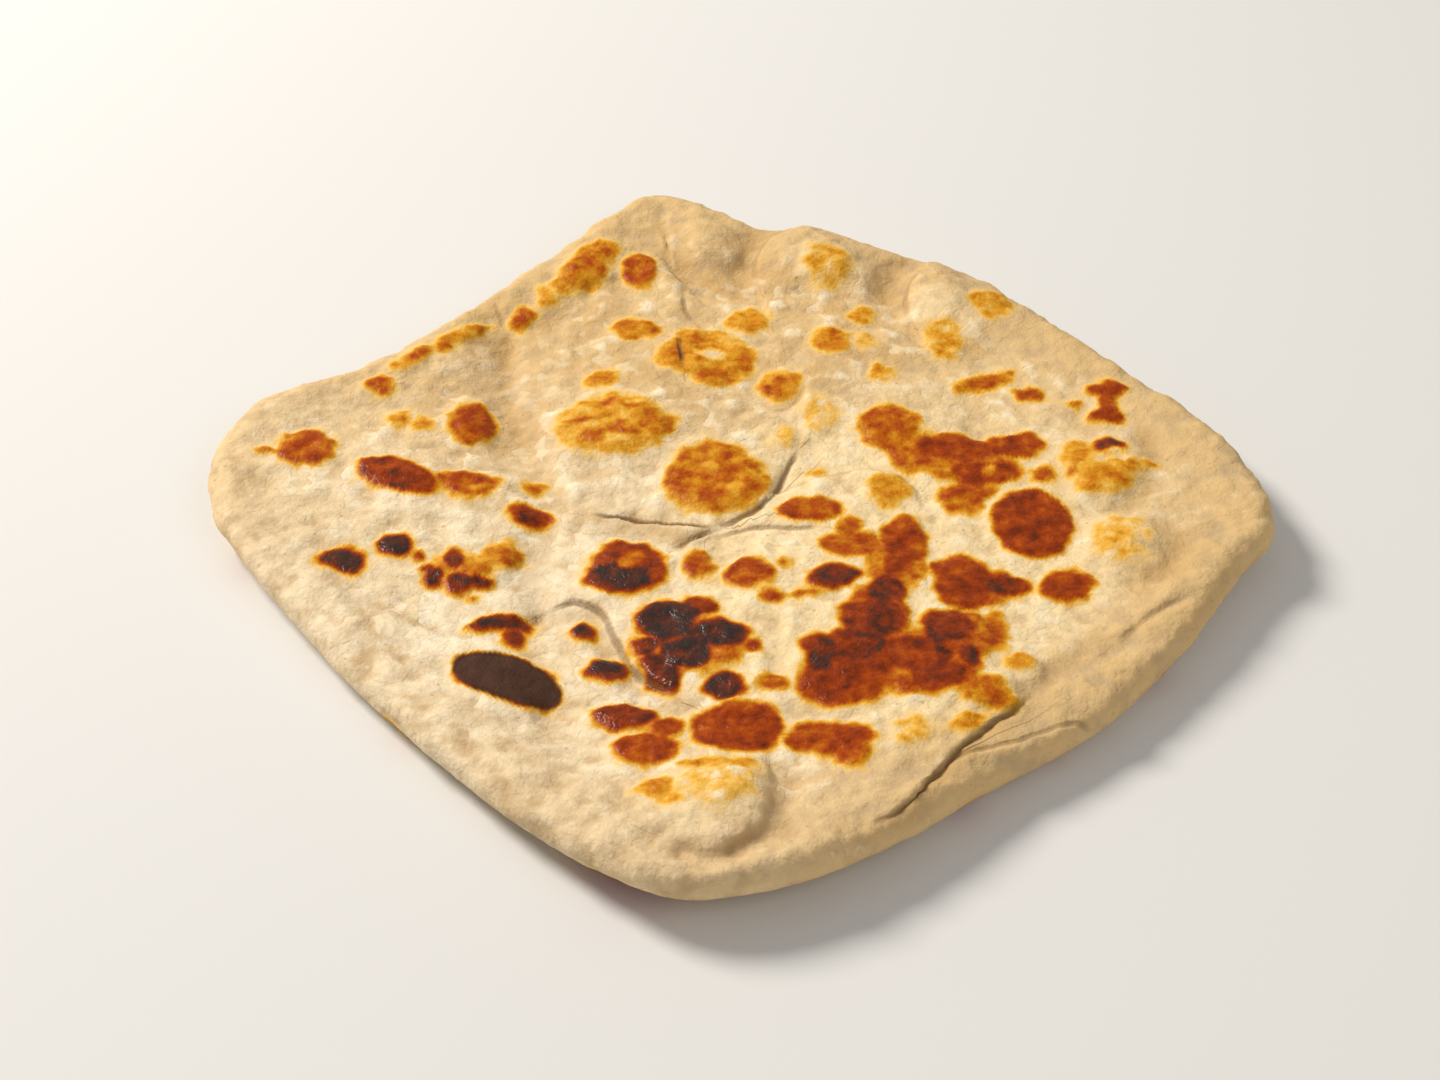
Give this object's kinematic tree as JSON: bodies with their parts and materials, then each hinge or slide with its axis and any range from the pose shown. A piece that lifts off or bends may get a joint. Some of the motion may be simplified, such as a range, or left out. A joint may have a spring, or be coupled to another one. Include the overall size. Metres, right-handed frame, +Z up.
{
  "type": "feteer flatbread",
  "caption": "Thin folded flatbread in a rounded square, with a rolled rim, curled corners, steam puffs and browned blisters; lies flat on a table or plate.",
  "frame": {"origin": "under the middle of the bread, on the surface that it rests on", "axes": "+Z up, through the bread's thickness; +X from the left corner to the right corner; +Y from the near corner to the far corner"},
  "size_m": [0.3213, 0.3205, 0.0201],
  "materials": {
    "crust": "matt baked dough, cream to tan, with satin brown blisters"
  },
  "bodies": {
    "root": {"feteer": "crust"}
  },
  "joints": []
}
